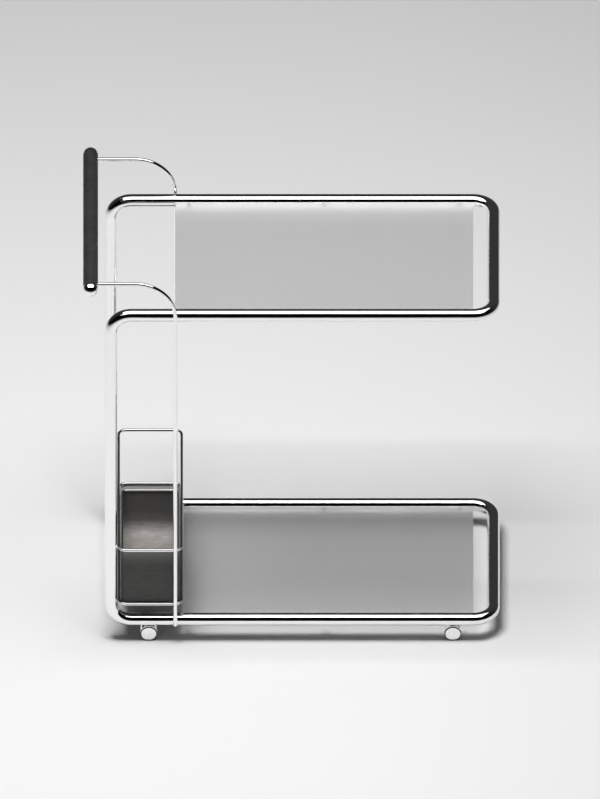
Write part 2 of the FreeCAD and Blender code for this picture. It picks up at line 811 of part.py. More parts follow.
def build_cart():
    """Every sub-part, in order from the frame outward."""
    write_sheet()
    parts = [
        side_tube("front_side_tube", -1),
        side_tube("rear_side_tube", 1),
        end_bow("upper_end_bow", "rail_low + frame_rise"),
        end_bow("lower_end_bow", "rail_low"),
        joint_sleeves(),
        handle_rod("handle_rod_front", -1),
        handle_rod("handle_rod_rear", 1),
        rod_studs(),
        handle_core(),
        handle_grip(),
        handle_cap("handle_cap_front", -1),
        handle_cap("handle_cap_rear", 1),
    ]
    for word, rise in (("upper", "frame_rise"), ("lower", "0")):
        parts.append(glass_shelf(word + "_glass_shelf", rise))
        parts.append(shelf_pins(word + "_shelf_pins", rise))
        parts.append(shelf_pads(word + "_shelf_pads", rise))
    parts += [
        rack_ring("rack_upper_ring", "ring_high"),
        rack_ring("rack_lower_ring", "ring_low"),
        rack_bars(),
        rack_base(),
        container_shell(),
        container_liner(),
        container_trim(),
        castor_sockets(),
    ]
    for name, x, y in castor_places():
        parts += castor(name, x, y)
    return parts


def check_objects():
    """Stops the build when any object of the document failed."""
    for thing in DOC.Objects:
        if "Invalid" in thing.State or "Error" in thing.State:
            raise RuntimeError("%s is %s" % (thing.Label, thing.State))


def export_parts(parts):
    """One STEP file for each sub-part, named after it."""
    os.makedirs("parts", exist_ok=True)
    for part in parts:
        shape = part.Shape
        if shape.isNull() or not shape.isValid() or not shape.Solids:
            raise RuntimeError("%s has no valid solid" % part.Label)
        print("%-30s solids %d  volume %.0f" % (part.Label, len(shape.Solids), shape.Volume))
        shape.exportStep("parts/%s.step" % part.Label)


PARTS = build_cart()
DOC.recompute()
check_objects()
export_parts(PARTS)
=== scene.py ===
"""Looks of the bar cart: chrome tube, frosted glass, grained leather, castors and a pale studio.

Metres, in the frame of the CAD model: +X away from the push handle, +Y to the back, +Z up.
"""

import math

import bpy
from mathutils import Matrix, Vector, noise


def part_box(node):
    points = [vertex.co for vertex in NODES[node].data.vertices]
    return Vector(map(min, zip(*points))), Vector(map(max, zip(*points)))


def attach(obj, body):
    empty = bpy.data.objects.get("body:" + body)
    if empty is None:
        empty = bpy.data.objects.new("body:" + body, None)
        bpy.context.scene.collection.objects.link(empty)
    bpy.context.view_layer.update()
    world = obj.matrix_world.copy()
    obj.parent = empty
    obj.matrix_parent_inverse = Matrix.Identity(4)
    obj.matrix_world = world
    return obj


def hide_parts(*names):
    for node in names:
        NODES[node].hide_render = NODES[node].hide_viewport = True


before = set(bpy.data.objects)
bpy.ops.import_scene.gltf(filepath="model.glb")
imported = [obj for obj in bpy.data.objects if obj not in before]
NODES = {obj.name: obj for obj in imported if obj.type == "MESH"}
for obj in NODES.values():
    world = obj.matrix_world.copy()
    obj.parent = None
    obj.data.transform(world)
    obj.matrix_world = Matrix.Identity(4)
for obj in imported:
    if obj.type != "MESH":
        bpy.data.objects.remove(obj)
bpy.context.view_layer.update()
MM = 0.001
SIDEWAYS = Vector((1.0, 1.0, 0.0))
CASTORS = ("front_left", "front_right", "rear_left", "rear_right")

# sizes that the CAD model's container, its liner and the rack floor share
BIN_CORNER = 12.6 * MM
BIN_WALL = 1.8 * MM
LINER_GAP = 0.2 * MM
LINER_THICK = 2.2 * MM
LINER_BEND = 30.0 * MM

GRIP_ROLL = 1.2 * MM

STITCH_PITCH = 4.6 * MM
STITCH_LENGTH = 3.4 * MM
STITCH_RADIUS = 0.38 * MM


# ---------------------------------------------------------------- material building blocks


def new_material(name):
    """A material with its node tree and its Principled shader."""
    material = bpy.data.materials.new(name)
    material.use_nodes = True
    tree = material.node_tree
    return material, tree, tree.nodes["Principled BSDF"]


def set_values(shader, **values):
    """Plain values on the shader's own sockets; an underscore in a name stands for a space."""
    for name, value in values.items():
        shader.inputs[name.replace("_", " ")].default_value = value


def place_coordinates(tree, stretch=(1.0, 1.0, 1.0)):
    """Object coordinates in metres, stretched along the axes."""
    source = tree.nodes.new("ShaderNodeTexCoord")
    mapping = tree.nodes.new("ShaderNodeMapping")
    mapping.inputs["Scale"].default_value = stretch
    tree.links.new(source.outputs["Object"], mapping.inputs["Vector"])
    return mapping.outputs["Vector"]


def one_axis(tree, vector, axis):
    """One of the three coordinates of a vector."""
    axes = tree.nodes.new("ShaderNodeSeparateXYZ")
    tree.links.new(vector, axes.inputs["Vector"])
    return axes.outputs[axis]


def calculate(tree, operation, first, second):
    """The result of a calculation with two values, the second of them plain or another output."""
    node = tree.nodes.new("ShaderNodeMath")
    node.operation = operation
    tree.links.new(first, node.inputs[0])
    if isinstance(second, float):
        node.inputs[1].default_value = second
    else:
        tree.links.new(second, node.inputs[1])
    return node.outputs["Value"]


def noise_texture(tree, vector, per_metre, detail=4.0, roughness=0.55):
    """A noise pattern with a feature size set in features per metre."""
    texture = tree.nodes.new("ShaderNodeTexNoise")
    texture.inputs["Scale"].default_value = per_metre
    texture.inputs["Detail"].default_value = detail
    texture.inputs["Roughness"].default_value = roughness
    tree.links.new(vector, texture.inputs["Vector"])
    return texture.outputs["Fac"]


def remap(tree, value, low, high, out_low, out_high):
    """A value moved from one range to another."""
    node = tree.nodes.new("ShaderNodeMapRange")
    for socket, number in zip(("From Min", "From Max", "To Min", "To Max"), (low, high, out_low, out_high)):
        node.inputs[socket].default_value = number
    tree.links.new(value, node.inputs["Value"])
    return node.outputs["Result"]


def mix_colours(tree, factor, first, second):
    """A colour between two colours or colour outputs."""
    node = tree.nodes.new("ShaderNodeMix")
    node.data_type = "RGBA"
    tree.links.new(factor, node.inputs["Factor"])
    for socket, colour in ((node.inputs[6], first), (node.inputs[7], second)):
        if isinstance(colour, tuple):
            socket.default_value = (*colour, 1.0)
        else:
            tree.links.new(colour, socket)
    return node.outputs[2]


def add_bump(tree, shader, height, distance, strength=1.0, after=None):
    """A bump on the shader's normal, on top of an earlier bump if one is given."""
    bump = tree.nodes.new("ShaderNodeBump")
    bump.inputs["Distance"].default_value = distance
    bump.inputs["Strength"].default_value = strength
    tree.links.new(height, bump.inputs["Height"])
    if after is not None:
        tree.links.new(after, bump.inputs["Normal"])
    tree.links.new(bump.outputs["Normal"], shader.inputs["Normal"])
    return bump.outputs["Normal"]


# ---------------------------------------------------------------- materials


def make_chrome():
    """Polished chrome plate: clean reflections with a slight waver and a haze of fine scratches."""
    material, tree, shader = new_material("polished_chrome")
    where = place_coordinates(tree)
    haze = noise_texture(tree, where, per_metre=60.0)
    colour = mix_colours(tree, haze, (0.88, 0.88, 0.885), (0.93, 0.93, 0.93))
    tree.links.new(colour, shader.inputs["Base Color"])
    tree.links.new(remap(tree, haze, 0.3, 0.7, 0.03, 0.075), shader.inputs["Roughness"])
    set_values(shader, Metallic=1.0)
    waver = noise_texture(tree, where, per_metre=14.0, detail=1.0)
    first = add_bump(tree, shader, waver, distance=1.2 * MM, strength=0.35)
    scratches = noise_texture(tree, place_coordinates(tree, (1.0, 8.0, 8.0)), per_metre=500.0)
    add_bump(tree, shader, scratches, distance=0.02 * MM, strength=0.25, after=first)
    return material


def make_steel():
    """Turned steel with fine marks round its axis."""
    material, tree, shader = new_material("turned_steel")
    marks = noise_texture(tree, place_coordinates(tree, (0.3, 0.3, 4.0)), per_metre=900.0)
    colour = mix_colours(tree, marks, (0.42, 0.42, 0.43), (0.62, 0.62, 0.62))
    tree.links.new(colour, shader.inputs["Base Color"])
    tree.links.new(remap(tree, marks, 0.3, 0.7, 0.25, 0.45), shader.inputs["Roughness"])
    set_values(shader, Metallic=1.0)
    add_bump(tree, shader, marks, distance=0.04 * MM, strength=0.4)
    return material


def tone_ramp(tree, position, painted_light_tones):
    """Grey that runs through pairs of a position and a tone."""
    start, end = painted_light_tones[0][0], painted_light_tones[-1][0]
    ramp = tree.nodes.new("ShaderNodeValToRGB")
    stops = ramp.color_ramp.elements
    for place, _ in painted_light_tones[1:-1]:
        stops.new((place - start) / (end - start))
    for stop, (_, grey) in zip(stops, painted_light_tones):
        stop.color = (grey, grey, grey, 1.0)
    tree.links.new(remap(tree, position, start, end, 0.0, 1.0), ramp.inputs["Fac"])
    return ramp.outputs["Color"]


def make_glass(name, painted_light_tones):
    """Grey satin-etched glass: outlines behind it blur, and light from above passes to what lies below.

    Its tone is painted light and shade from front to back, through the given pairs of Y and tone.
    """
    material, tree, shader = new_material(name)
    where = place_coordinates(tree)
    etch = noise_texture(tree, where, per_metre=45.0, detail=6.0)
    painted_light_and_etch = tree.nodes.new("ShaderNodeVectorMath")
    painted_light_and_etch.operation = "MULTIPLY"
    # painted light and shade: a grey ramp along Y, times the etch's faint cloud
    tree.links.new(tone_ramp(tree, one_axis(tree, where, "Y"), painted_light_tones), painted_light_and_etch.inputs[0])
    tree.links.new(mix_colours(tree, etch, (0.97, 0.97, 0.97), (1.03, 1.03, 1.03)), painted_light_and_etch.inputs[1])
    tree.links.new(painted_light_and_etch.outputs["Vector"], shader.inputs["Base Color"])
    tree.links.new(remap(tree, etch, 0.3, 0.7, 0.44, 0.52), shader.inputs["Roughness"])
    set_values(shader, Transmission_Weight=0.9, IOR=1.45)
    grit = noise_texture(tree, where, per_metre=2600.0, detail=2.0)
    add_bump(tree, shader, grit, distance=0.02 * MM, strength=0.3)
    ray = tree.nodes.new("ShaderNodeLightPath")
    clear = tree.nodes.new("ShaderNodeBsdfTransparent")
    clear.inputs["Color"].default_value = (0.86, 0.86, 0.86, 1.0)
    passing = calculate(tree, "MAXIMUM", ray.outputs["Is Shadow Ray"], ray.outputs["Is Diffuse Ray"])
    choice = tree.nodes.new("ShaderNodeMixShader")
    tree.links.new(passing, choice.inputs["Fac"])
    tree.links.new(shader.outputs["BSDF"], choice.inputs[1])
    tree.links.new(clear.outputs["BSDF"], choice.inputs[2])
    tree.links.new(choice.outputs["Shader"], tree.nodes["Material Output"].inputs["Surface"])
    return material


def make_leather(name, dark, light, roughness, specular=0.5, painted_light_fade=None):
    """Fine-grained leather: pebbled cells with creases, level streaks and edges worn a little lighter.

    A painted light fade turns its tone into another one from the first height to the second: painted light
    or painted shade by height.
    """
    material, tree, shader = new_material(name)
    where = place_coordinates(tree)
    cloud = noise_texture(tree, where, per_metre=38.0, detail=5.0)
    tone = mix_colours(tree, remap(tree, cloud, 0.35, 0.7, 0.0, 1.0), dark, light)
    streaks = noise_texture(tree, place_coordinates(tree, (0.12, 1.0, 1.0)), per_metre=420.0, detail=3.0)
    pale = tuple(channel * 1.45 for channel in light)
    tone = mix_colours(tree, remap(tree, streaks, 0.45, 0.8, 0.0, 0.9), tone, pale)
    if painted_light_fade is not None:
        start, end, painted_upper_tone = painted_light_fade
        # painted light or shade: the tone changes with height
        level = remap(tree, one_axis(tree, where, "Z"), start, end, 0.0, 1.0)
        tone = mix_colours(tree, calculate(tree, "POWER", level, 1.7), tone, painted_upper_tone)
    geometry = tree.nodes.new("ShaderNodeNewGeometry")
    worn = remap(tree, geometry.outputs["Pointiness"], 0.52, 0.62, 0.0, 0.5)
    edge_tone = tuple(channel * 1.4 + 0.05 for channel in light)
    tree.links.new(mix_colours(tree, worn, tone, edge_tone), shader.inputs["Base Color"])
    low, high = roughness
    tree.links.new(remap(tree, cloud, 0.3, 0.7, low, high), shader.inputs["Roughness"])
    set_values(shader, Specular_IOR_Level=specular)
    pebble = remap(tree, leather_cells(tree, where), 0.0, 0.22, 0.0, 1.0)
    first = add_bump(tree, shader, pebble, distance=0.16 * MM, strength=0.55)
    second = add_bump(tree, shader, streaks, distance=0.6 * MM, strength=0.35, after=first)
    folds = noise_texture(tree, where, per_metre=55.0, detail=3.0)
    add_bump(tree, shader, folds, distance=1.1 * MM, strength=0.4, after=second)
    return material


def leather_cells(tree, where):
    """Distance from the creases between the leather's cells, which are knocked off their regular places."""
    jitter = tree.nodes.new("ShaderNodeTexNoise")
    jitter.inputs["Scale"].default_value = 420.0
    tree.links.new(where, jitter.inputs["Vector"])
    wobble = tree.nodes.new("ShaderNodeVectorMath")
    wobble.operation = "MULTIPLY_ADD"
    tree.links.new(jitter.outputs["Color"], wobble.inputs[0])
    wobble.inputs[1].default_value = (1.2 * MM, 1.2 * MM, 1.2 * MM)
    tree.links.new(where, wobble.inputs[2])
    creases = tree.nodes.new("ShaderNodeTexVoronoi")
    creases.feature = "DISTANCE_TO_EDGE"
    creases.inputs["Scale"].default_value = 620.0
    tree.links.new(wobble.outputs["Vector"], creases.inputs["Vector"])
    return creases.outputs["Distance"]


def make_plain(name, first, second, roughness, per_metre, bump, transmission=0.0):
    """A moulded material: slight tone change and a fine surface texture."""
    material, tree, shader = new_material(name)
    pattern = noise_texture(tree, place_coordinates(tree), per_metre)
    tree.links.new(mix_colours(tree, pattern, first, second), shader.inputs["Base Color"])
    low, high = roughness
    tree.links.new(remap(tree, pattern, 0.3, 0.7, low, high), shader.inputs["Roughness"])
    set_values(shader, Transmission_Weight=transmission)
    add_bump(tree, shader, pattern, bump, strength=0.5)
    return material


CHROME = make_chrome()
STEEL = make_steel()
# Upper glass: nearly even, with a painted glow along the rear edge where the chrome rail throws light on it
UPPER_GLASS = make_glass(
    "satin_glass_upper",
    painted_light_tones=((-0.174, 0.645), (0.10, 0.637), (0.139, 0.68), (0.170, 0.97)),
)
# Lower glass: painted shade darkening from front to back, a painted shadow band of the rear rail near the
# back, and a painted glow at the rear edge
LOWER_GLASS = make_glass(
    "satin_glass_lower",
    painted_light_tones=((-0.174, 0.73), (-0.10, 0.68), (0.07, 0.61), (0.132, 0.503), (0.152, 0.57), (0.172, 0.95)),
)
BLACK = {"dark": (0.030, 0.029, 0.027), "light": (0.048, 0.046, 0.043), "roughness": (0.42, 0.55)}
LEATHER = make_leather("black_leather", **BLACK)
# The container's walls grow lighter towards the rim: a painted band of light from above grazing them
BIN_LEATHER = make_leather("container_leather", **BLACK, painted_light_fade=(0.178, 0.224, (0.245, 0.237, 0.226)))
GRIP_LEATHER = make_leather(
    "grip_leather",
    dark=(0.014, 0.0135, 0.0125),
    light=(0.024, 0.023, 0.0215),
    roughness=(0.5, 0.62),
    specular=0.36,
)
# The liner's pale tone is a painted highlight for black leather's sheen under the lamp above; it darkens
# towards its top as painted shade
LINER = make_leather(
    "liner_leather",
    dark=(0.27, 0.25, 0.237),
    light=(0.35, 0.326, 0.311),
    roughness=(0.45, 0.6),
    painted_light_fade=(0.105, 0.168, (0.205, 0.202, 0.196)),
)
THREAD = make_plain(
    "waxed_thread",
    (0.035, 0.034, 0.032),
    (0.075, 0.072, 0.068),
    (0.5, 0.7),
    per_metre=2500.0,
    bump=0.05 * MM,
)
RUBBER = make_plain(
    "tyre_rubber",
    (0.018, 0.018, 0.018),
    (0.035, 0.035, 0.035),
    (0.55, 0.75),
    per_metre=800.0,
    bump=0.08 * MM,
)
PLASTIC = make_plain(
    "wheel_plastic",
    (0.03, 0.03, 0.03),
    (0.05, 0.05, 0.05),
    (0.35, 0.5),
    per_metre=900.0,
    bump=0.05 * MM,
)
PAD = make_plain(
    "clear_pad",
    (0.55, 0.57, 0.57),
    (0.68, 0.70, 0.70),
    (0.15, 0.3),
    per_metre=300.0,
    bump=0.05 * MM,
    transmission=0.7,
)


def dress(material, *names):
    """Gives CAD nodes their material."""
    for name in names:
        mesh = NODES[name].data
        if not mesh.materials:
            mesh.materials.append(material)
        for place in NODES[name].material_slots:
            place.material = material


def dress_cad():
    """Materials of every CAD node that stays in sight."""
    dress(UPPER_GLASS, "upper_glass_shelf")
    dress(LOWER_GLASS, "lower_glass_shelf")
    for level in ("upper", "lower"):
        dress(PAD, level + "_shelf_pads")
        dress(CHROME, level + "_end_bow", level + "_shelf_pins", "rack_%s_ring" % level)
    for side in ("front", "rear"):
        dress(CHROME, side + "_side_tube", "handle_rod_" + side, "handle_cap_" + side)
    dress(CHROME, "container_trim")
    dress(STEEL, "frame_joint_sleeves", "rod_studs", "handle_core", "rack_base_bars", "castor_sockets")
    for name in CASTORS:
        prefix = "castor_%s_" % name
        dress(CHROME, prefix + "housing")
        dress(STEEL, prefix + "stem", prefix + "axle")
        dress(PLASTIC, prefix + "wheels")


# ---------------------------------------------------------------- mesh building blocks


def add_piece(name, points, faces, material, body):
    """A smooth-shaded mesh piece that rides on a CAD body."""
    mesh = bpy.data.meshes.new(name)
    mesh.from_pydata([tuple(point) for point in points], [], faces)
    mesh.materials.append(material)
    mesh.polygons.foreach_set("use_smooth", [True] * len(mesh.polygons))
    mesh.update()
    piece = bpy.data.objects.new(name, mesh)
    bpy.context.scene.collection.objects.link(piece)
    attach(piece, body)
    return piece


def skin_loops(loops, closed=False):
    """Quads between successive loops of equal length; the ends are capped unless closed."""
    count = len(loops[0])
    points = [point for loop in loops for point in loop]
    faces = []
    pairs = list(zip(range(len(loops)), range(1, len(loops))))
    if closed:
        pairs.append((len(loops) - 1, 0))
    for low, high in pairs:
        for step in range(count):
            after = (step + 1) % count
            face = (low * count + step, low * count + after, high * count + after, high * count + step)
            faces.append(face)
    if not closed:
        faces.append(tuple(reversed(range(count))))
        faces.append(tuple(range(len(points) - count, len(points))))
    return points, faces


def join_skins(groups, closed=False):
    """The skins of several groups of loops, as the points and faces of one mesh."""
    points, faces = [], []
    for loops in groups:
        some_points, some_faces = skin_loops(loops, closed)
        base = len(points)
        points += some_points
        faces += [tuple(base + index for index in face) for face in some_faces]
    return points, faces


def turned_loops(profile, centre, steps=64):
    """Loops of a (radius, along) profile turned about the line through the centre along Y."""
    loops = []
    for radius, along in profile:
        loop = []
        for step in range(steps):
            turn = math.tau * step / steps
            loop.append(centre + Vector((radius * math.cos(turn), along, radius * math.sin(turn))))
        loops.append(loop)
    return loops


def rounded_rectangle(low, high, corner, side_steps=12, corner_steps=8):
    """Points round a rectangle with rounded corners, anticlockwise from its front left corner."""
    corners = (
        (low.x + corner, low.y + corner, 180.0),
        (high.x - corner, low.y + corner, 270.0),
        (high.x - corner, high.y - corner, 0.0),
        (low.x + corner, high.y - corner, 90.0),
    )
    arcs = []
    for x, y, start in corners:
        arc = []
        for step in range(corner_steps + 1):
            turn = math.radians(start + 90.0 * step / corner_steps)
            arc.append(Vector((x + corner * math.cos(turn), y + corner * math.sin(turn), 0)))
        arcs.append(arc)
    outline = []
    for index, arc in enumerate(arcs):
        outline += arc
        target = arcs[(index + 1) % 4][0]
        for step in range(1, side_steps):
            outline.append(arc[-1].lerp(target, step / side_steps))
    return outline


def at_height(outline, height):
    """An outline lifted to a height."""
    return [Vector((point.x, point.y, height)) for point in outline]


def rolled_edge(low, high, corner, radius, at_top=False):
    """Outlines over a quarter-round edge, from the underside to the wall or from the wall to the top."""
    loops = []
    for turn in (0, 30, 60, 90):
        inset = SIDEWAYS * radius * (1 - math.sin(math.radians(turn)))
        drop = radius * (1 - math.cos(math.radians(turn)))
        height = high.z - drop if at_top else low.z + drop
        loops.append(at_height(rounded_rectangle(low + inset, high - inset, corner), height))
    return loops[::-1] if at_top else loops


def stitch_row(path, outward, radius=STITCH_RADIUS):
    """Loops for a row of stitches: short rounded threads half sunk along an open path of points."""
    groups = []
    travelled = STITCH_PITCH / 2
    for start, end in zip(path, path[1:]):
        span = (end - start).length
        along = (end - start).normalized()
        while travelled < span:
            middle = start + along * travelled
            groups.append(one_stitch(middle, along, outward(middle), radius))
            travelled += STITCH_PITCH
        travelled -= span
    return groups


def one_stitch(middle, along, normal, radius):
    """The loops of one stitch, thickest at its middle and dipping into the leather at its ends."""
    across = along.cross(normal).normalized()
    sides = 6
    loops = []
    for part in (-0.5, -0.38, -0.15, 0.15, 0.38, 0.5):
        thickness = radius * math.sqrt(max(0.06, 1.0 - (2.0 * part) ** 2))
        centre = middle + along * (part * STITCH_LENGTH) - normal * (radius * 2.2 * part * part)
        loop = []
        for step in range(sides):
            turn = math.tau * step / sides
            offset = across * (thickness * math.cos(turn)) + normal * (thickness * math.sin(turn))
            loop.append(centre + offset)
        loops.append(loop)
    return loops


def add_stitches(name, groups, body):
    """All stitches of a seam as one piece."""
    points, faces = join_skins(groups)
    add_piece(name, points, faces, THREAD, body)


# ---------------------------------------------------------------- push handle


def grip_leather():
    """Leather wrapped round the handle core and sewn along its underside."""
    low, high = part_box("handle_grip")
    core_low, core_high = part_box("handle_core")
    axis = (low + high) / 2
    radius = (high.x - low.x) / 2
    half = (high.y - low.y) / 2
    seam = math.radians(-70.0)
    loops = [grip_loop(axis, along, half, radius, seam) for along in grip_stations(half)]
    inner = [bore_loop(loop, axis, (core_high.x - core_low.x) / 2) for loop in (loops[-1], loops[0])]
    points, faces = skin_loops(loops + inner, closed=True)
    piece = add_piece("grip_leather", points, faces, GRIP_LEATHER, "frame")
    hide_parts("handle_grip")
    rows = []
    for side in (-1, 1):
        turn = seam + side * 0.2
        outward = Vector((math.cos(turn), 0, math.sin(turn)))
        start = axis + outward * (radius - 0.2 * MM) + Vector((0, -half + 4 * MM, 0))
        end = start + Vector((0, 2 * half - 8 * MM, 0))
        rows += stitch_row([start, end], lambda point, outward=outward: outward)
    add_stitches("grip_stitching", rows, "frame")


def grip_stations(half):
    """Places along the grip, close together where its ends are rolled over."""
    spans = 150
    rolled = [-half + GRIP_ROLL * (1 - math.cos(math.radians(turn))) for turn in range(0, 90, 18)]
    straight = [-half + GRIP_ROLL + (2 * half - 2 * GRIP_ROLL) * step / spans for step in range(spans + 1)]
    return rolled + straight + [-along for along in reversed(rolled)]


def grip_loop(axis, along, half, radius, seam):
    """One ring of the grip's surface, with the seam's groove and the leather drawn in at its stitches."""
    steps = 72
    slack = 0.12 * MM
    from_end = min(half - abs(along), GRIP_ROLL)
    drop = GRIP_ROLL - math.sqrt(max(0.0, GRIP_ROLL ** 2 - (GRIP_ROLL - from_end) ** 2))
    loop = []
    for step in range(steps):
        turn = math.tau * step / steps
        off_seam = (turn - seam + math.pi) % math.tau - math.pi
        groove = 0.35 * MM * math.exp(-(off_seam / 0.07) ** 2)
        pucker = 0.12 * MM * math.exp(-(off_seam / 0.35) ** 2) * math.sin(math.tau * along / STITCH_PITCH)
        spot = Vector((math.cos(turn), along * 30.0, math.sin(turn)))
        uneven = 0.10 * MM * noise.noise(spot * 1.4)
        reach = radius - drop - groove - slack + uneven + pucker
        loop.append(axis + Vector((reach * math.cos(turn), along, reach * math.sin(turn))))
    return loop


def bore_loop(loop, axis, radius):
    """A ring of the grip's surface drawn in to the bore."""
    drawn_in = []
    for point in loop:
        out = Vector((point.x - axis.x, 0, point.z - axis.z)).normalized()
        drawn_in.append(Vector((axis.x, point.y, axis.z)) + out * radius)
    return drawn_in


# ---------------------------------------------------------------- container and rack floor


def rim_loops(outer, inner, height, steps=8):
    """Loops over a rounded rim from an outer outline to an inner one, which may be uneven apart."""
    highest = 1.6 * MM
    loops = []
    for step in range(1, steps):
        turn = math.pi * step / steps
        share = (1 - math.cos(turn)) / 2
        loop = []
        for first, second in zip(outer, inner):
            lift = min((first - second).length / 2, highest) * math.sin(turn) ** 0.7
            point = first.lerp(second, share)
            loop.append(Vector((point.x, point.y, height + lift)))
        loops.append(loop)
    return loops


def container_leather():
    """The lift-out box in leather, with a rolled rim, soft edges and sewn seams."""
    low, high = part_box("container_shell")
    liner_low, liner_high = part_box("container_liner")
    edge, rim = 1.0 * MM, 1.4 * MM
    rise = high.z - rim - low.z
    loops = rolled_edge(low, high, BIN_CORNER, edge) + wall_loops(low, high, rise)
    top = SIDEWAYS * edge * 0.35
    outer = rounded_rectangle(low + top, high - top, BIN_CORNER)
    gap = SIDEWAYS * LINER_GAP
    inner = rounded_rectangle(liner_low - gap, liner_high + gap, BIN_CORNER - BIN_WALL)
    loops.append(at_height(outer, high.z - rim))
    loops += rim_loops(outer, inner, high.z - rim)
    loops.append(at_height(inner, high.z - rim))
    for share in (0.75, 0.5, 0.25, 0.0):
        loops.append(at_height(inner, low.z + BIN_WALL + (rise - BIN_WALL) * share))
    points, faces = skin_loops(loops)
    piece = add_piece("container_leather", points, faces, BIN_LEATHER, "container")
    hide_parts("container_shell")
    seam_container(low, high)


def wall_loops(low, high, rise):
    """Outlines up the container's walls, slightly hollow and uneven as leather over board is."""
    spans = 25
    middle = (low + high) / 2
    loops = []
    for step in range(1, spans):
        share = step / spans
        hollow = SIDEWAYS * 0.35 * MM * (2 * share - 1) ** 4
        loop = []
        for point in rounded_rectangle(low + hollow, high - hollow, BIN_CORNER):
            spot = Vector((point.x, point.y, low.z + rise * share))
            inward = Vector((middle.x, middle.y, spot.z)) - spot
            loop.append(spot + inward.normalized() * 0.25 * MM * (0.5 + noise.noise(spot * 40.0)))
        loops.append(loop)
    return loops


def seam_container(low, high):
    """Stitch rows under the rim, above the base and down both end walls beside each corner."""
    centre = (low + high) / 2
    half = (high - low) / 2
    rows = []

    def outward(point):
        """Away from the nearest wall, turning smoothly round the corners."""
        x, y = point.x - centre.x, point.y - centre.y
        x = math.copysign(max(abs(x) - half.x + BIN_CORNER, 0.0), x)
        y = math.copysign(max(abs(y) - half.y + BIN_CORNER, 0.0), y)
        return Vector((x, y, 0)).normalized()

    inset = SIDEWAYS * 0.3 * MM
    for height in (high.z - 6.0 * MM, low.z + 5.0 * MM):
        outline = at_height(rounded_rectangle(low + inset, high - inset, BIN_CORNER), height)
        rows += stitch_row(outline + outline[:1], outward)
    for x_side in (-1, 1):
        for y_side in (-1, 1):
            x = centre.x + x_side * (half.x - 0.2 * MM)
            y = centre.y + y_side * (half.y - BIN_CORNER - 2.0 * MM)
            run = [Vector((x, y, low.z + 10 * MM)), Vector((x, y, high.z - 10 * MM))]
            rows += stitch_row(run, outward)
    add_stitches("container_stitching", rows, "container")


def trough_route(half, top, low):
    """(Y, Z) points down one long wall, round a bottom corner, across and up the other wall."""
    spans, arc_spans = 12, 24
    drop = low + LINER_BEND - top
    route = [(-half, top + drop * step / spans) for step in range(spans + 1)]
    for step in range(1, arc_spans + 1):
        turn = math.radians(90.0 * step / arc_spans)
        y = -half + LINER_BEND * (1 - math.cos(turn))
        route.append((y, low + LINER_BEND * (1 - math.sin(turn))))
    route += [(-(half - LINER_BEND) * (1 - step / spans), low) for step in range(1, spans + 1)]
    return route + [(-y, z) for y, z in reversed(route[:-1])]


def liner_leather():
    """Leather sheet slung between the container's long walls, softly rumpled.

    Its front corners follow the container's, and its back corners are let into the thick back wall.
    """
    low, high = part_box("container_liner")
    centre = (low + high) / 2
    half_wide = (high.x - low.x) / 2
    half_deep = (high.y - low.y) / 2
    front_corner = BIN_CORNER - BIN_WALL - LINER_GAP
    across_steps = 36
    free_depth = 20.0 * MM
    route = trough_route(half_deep, high.z, low.z)
    loops = []
    for index, (y, z) in enumerate(route):
        before, after = route[max(index - 1, 0)], route[min(index + 1, len(route) - 1)]
        outward = Vector((0, after[1] - before[1], before[0] - after[0])).normalized()
        corner = front_corner if y < 0 else 0.0
        into_corner = max(corner - half_deep + abs(y), 0.0)
        reach = half_wide - corner + math.sqrt(corner ** 2 - into_corner ** 2)
        outside, inside = [], []
        for step in range(across_steps + 1):
            share = step / across_steps
            place = Vector((centre.x + reach * (2 * share - 1), centre.y + y, z))
            fold = 0.5 + noise.noise(Vector((place.x * 20.0, place.y * 60.0, place.z * 60.0)))
            free = math.sin(math.pi * share) * min(1.0, (high.z - z) / free_depth)
            outside.append(place)
            inside.append(place - outward * (LINER_THICK + 0.6 * MM * fold * free))
        loops.append(outside + inside[::-1])
    points, faces = skin_loops(loops)
    piece = add_piece("liner_leather", points, faces, LINER, "container")
    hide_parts("container_liner")


def floor_leather():
    """Leather-faced rack floor with a turned edge and a sewn border."""
    low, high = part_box("rack_base_panel")
    edge, border = 0.9 * MM, 5.0 * MM
    loops = rolled_edge(low, high, BIN_CORNER, edge) + rolled_edge(low, high, BIN_CORNER, edge, at_top=True)
    points, faces = skin_loops(loops)
    piece = add_piece("rack_floor_leather", points, faces, LEATHER, "frame")
    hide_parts("rack_base_panel")
    inset = SIDEWAYS * border
    outline = rounded_rectangle(low + inset, high - inset, BIN_CORNER - border)
    sewn = at_height(outline + outline[:1], high.z - 0.15 * MM)
    rows = stitch_row(sewn, lambda point: Vector((0, 0, 1)), STITCH_RADIUS * 0.6)
    add_stitches("rack_floor_stitching", rows, "frame")


# ---------------------------------------------------------------- castors


def castor_looks(name):
    """Rounded tyres and dished chrome side caps of one twin-wheel castor."""
    prefix = "castor_%s_" % name
    wheel_low, wheel_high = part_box(prefix + "wheels")
    wheel_radius = (wheel_high.z - wheel_low.z) / 2
    low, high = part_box(prefix + "tyres")
    tyre = tyre_profile(wheel_radius, (high.z - low.z) / 2, (high.y - low.y) / 2)
    twin_piece(prefix + "tyres", tyre, RUBBER, prefix + "wheel", closed=True)
    low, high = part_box(prefix + "caps")
    cap = cap_profile((high.z - low.z) / 2, (high.y - low.y) / 2)
    twin_piece(prefix + "caps", cap, CHROME, prefix + "wheel", closed=False)


